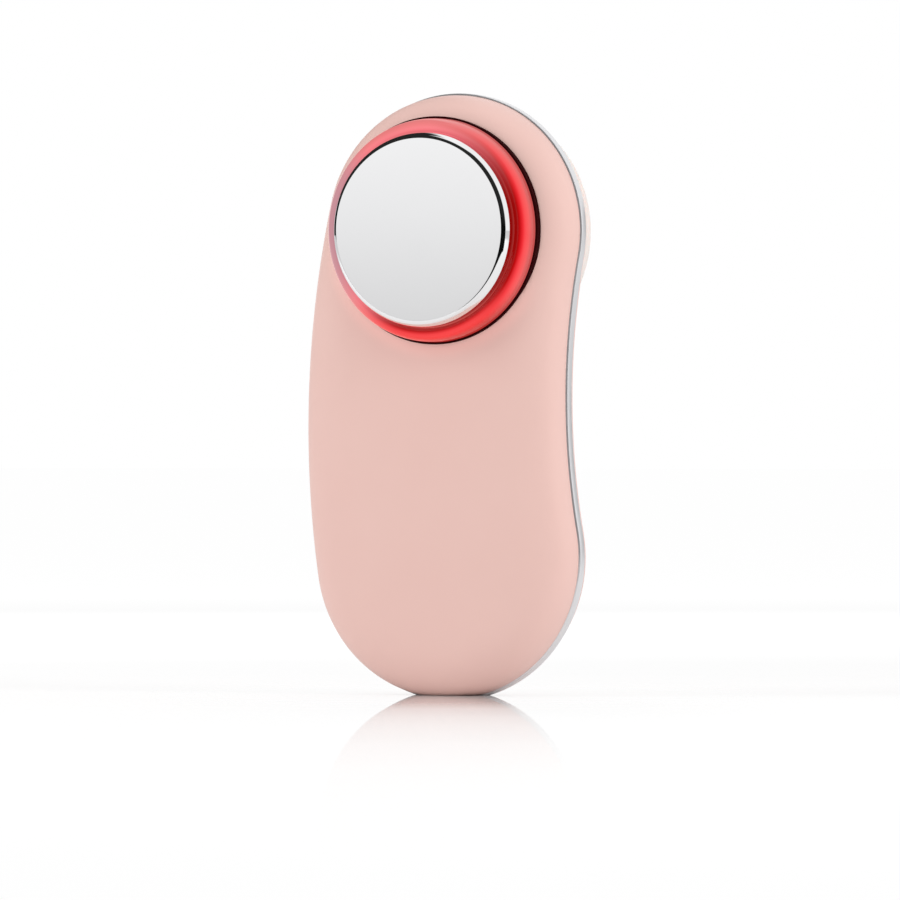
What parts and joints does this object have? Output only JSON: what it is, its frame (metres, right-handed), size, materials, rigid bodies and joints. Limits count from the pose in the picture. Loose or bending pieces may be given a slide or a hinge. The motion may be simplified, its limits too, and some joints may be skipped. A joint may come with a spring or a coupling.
{
  "type": "sonic facial cleansing brush",
  "caption": "Hand-held facial cleansing brush with a warm chrome massage plate in a red light ring, a silicone brush pad behind it and a bean-shaped grip.",
  "frame": {"origin": "centre of the small flat that the grip stands on, in the middle of the trim band", "axes": "+Z from the base up to the head, -Y the way the massage plate faces, +Y the way the brush pad faces"},
  "size_m": [0.0596, 0.0337, 0.1203],
  "materials": {
    "pink_soft_touch": "soft-touch satin",
    "pink_silicone": "matt silicone",
    "chrome_trim": "polished",
    "chrome_plate": "polished",
    "chrome_button": "satin chrome",
    "red_diffuser": "translucent red",
    "black_seal": "glossy dark red-black",
    "dark_rubber": "matt",
    "pale_silicone": "matt silicone",
    "white_plastic": "moulded",
    "white_board": "solder mask",
    "green_board": "solder mask",
    "copper_film": "polyimide film",
    "copper_wire": "enamelled copper",
    "black_plastic": "moulded",
    "red_lamp": "clear resin",
    "white_lamp": "clear resin",
    "steel": "zinc plated",
    "magnet": "ferrite",
    "brass": "turned",
    "aluminium_can": "drawn",
    "foil_pouch": "foil pouch",
    "grey_foam": "foam",
    "red_wire": "wire insulation",
    "blue_wire": "wire insulation",
    "yellow_wire": "wire insulation",
    "clear_plastic": "clear"
  },
  "bodies": {
    "housing": {"front_shell": "pink_soft_touch", "rear_shell": "pink_soft_touch", "trim_band": "chrome_trim", "case_gasket": "dark_rubber", "massage_plate": "chrome_plate", "light_ring": "red_diffuser", "ring_seal": "black_seal", "plate_carrier": "white_plastic", "heating_film": "copper_film", "thermistor": "black_plastic", "ring_board": "white_board", "ring_lamps_red": "red_lamp", "carrier_screws": "steel", "brush_pad": "pale_silicone", "pad_frame": "white_plastic", "case_screws": "steel", "screw_plugs": "pink_silicone", "motor_can": "steel", "motor_end_cap": "black_plastic", "motor_magnets": "magnet", "motor_sleeve": "dark_rubber", "main_board": "green_board", "board_screws": "steel", "controller_chip": "black_plastic", "charger_chip": "black_plastic", "boost_inductor": "black_plastic", "board_capacitor": "aluminium_can", "cell_connector": "white_plastic", "motor_connector": "white_plastic", "heater_connector": "white_plastic", "lithium_cell": "foil_pouch", "cell_foam": "grey_foam", "protection_board": "green_board", "cell_lead": "red_wire", "motor_lead": "blue_wire", "heater_lead": "yellow_wire", "power_switch": "black_plastic", "mode_switch": "black_plastic", "indicator_lamps": "white_lamp", "light_pipes": "clear_plastic", "charging_socket": "steel", "socket_tongue": "black_plastic"},
    "rotor": {"motor_shaft": "steel", "motor_armature": "copper_wire", "eccentric_weight": "brass"},
    "power_plunger": {"power_plunger": "black_plastic"},
    "mode_plunger": {"mode_plunger": "black_plastic"},
    "power_button": {"power_button": "chrome_button"},
    "mode_button": {"mode_button": "chrome_button"},
    "port_cover": {"port_cover": "pink_silicone"}
  },
  "joints": [
    {"name": "power_button_press", "type": "slide", "parent": "housing", "child": "power_button", "axis": [0, -1, 0], "range_m": [0, 0.0004], "stiffness_N_per_m": 1500},
    {"name": "power_plunger_press", "type": "slide", "parent": "housing", "child": "power_plunger", "axis": [0, -1, 0], "range_m": [0, 0.0004]},
    {"name": "mode_button_press", "type": "slide", "parent": "housing", "child": "mode_button", "axis": [0, -1, 0], "range_m": [0, 0.0004], "stiffness_N_per_m": 1500},
    {"name": "mode_plunger_press", "type": "slide", "parent": "housing", "child": "mode_plunger", "axis": [0, -1, 0], "range_m": [0, 0.0004]},
    {"name": "rotor_spin", "type": "hinge", "parent": "housing", "child": "rotor", "pos_m": [0.0014, 0.0015, 0.09], "axis": [0, 0, 1], "continuous": true},
    {"name": "port_cover_hinge", "type": "hinge", "parent": "housing", "child": "port_cover", "pos_m": [0, 0.01065, 0.0235], "axis": [1, 0, 0], "range_deg": [0, 100]}
  ],
  "couplings": [
    {"joint": "power_plunger_press", "follows": "power_button_press", "ratio": 1},
    {"joint": "mode_plunger_press", "follows": "mode_button_press", "ratio": 1}
  ]
}
